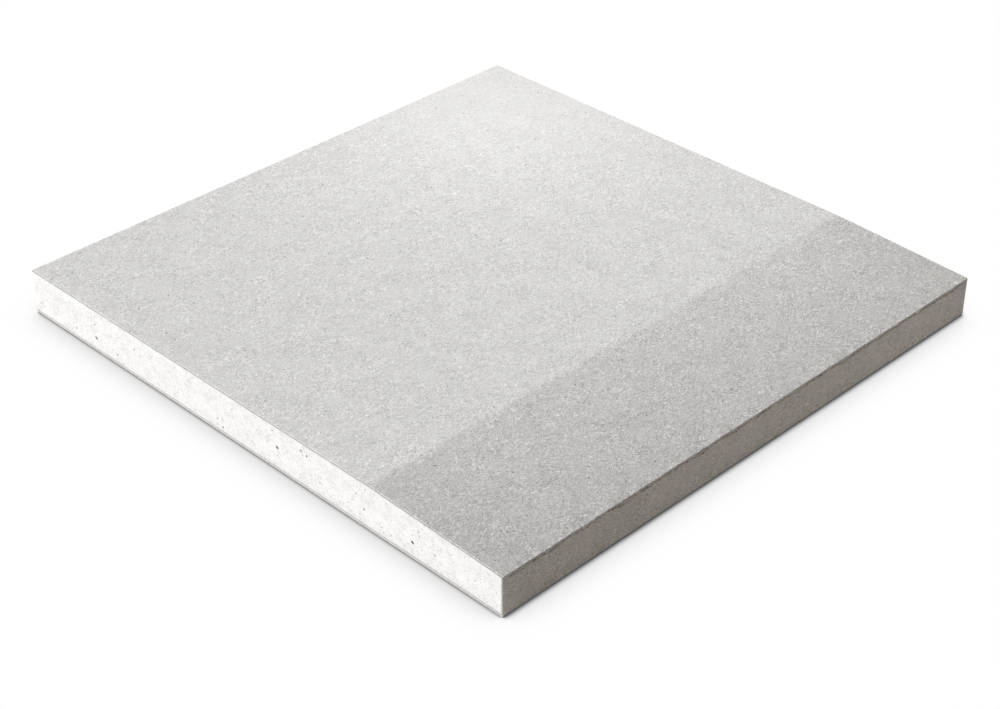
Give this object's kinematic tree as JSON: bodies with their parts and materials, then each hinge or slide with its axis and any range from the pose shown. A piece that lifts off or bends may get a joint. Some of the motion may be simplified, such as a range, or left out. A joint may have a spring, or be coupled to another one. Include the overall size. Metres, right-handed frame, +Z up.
{
  "type": "drywall sheet",
  "caption": "Flat square of drywall: foamed gypsum core between grey papers, with a tapered edge that the face paper wraps and bare sawn sides, for lining walls and ceilings.",
  "frame": {"origin": "middle of the footprint, on the surface that the sheet's back lies on", "axes": "+Z up out of the face, +X across the sheet towards the tapered edge, +Y along that edge"},
  "size_m": [0.168, 0.166, 0.0125],
  "materials": {
    "gypsum": "matte",
    "face_paper": "matte",
    "back_paper": "matte"
  },
  "bodies": {
    "root": {"gypsum_core": "gypsum", "face_paper": "face_paper", "back_paper": "back_paper"}
  },
  "joints": []
}
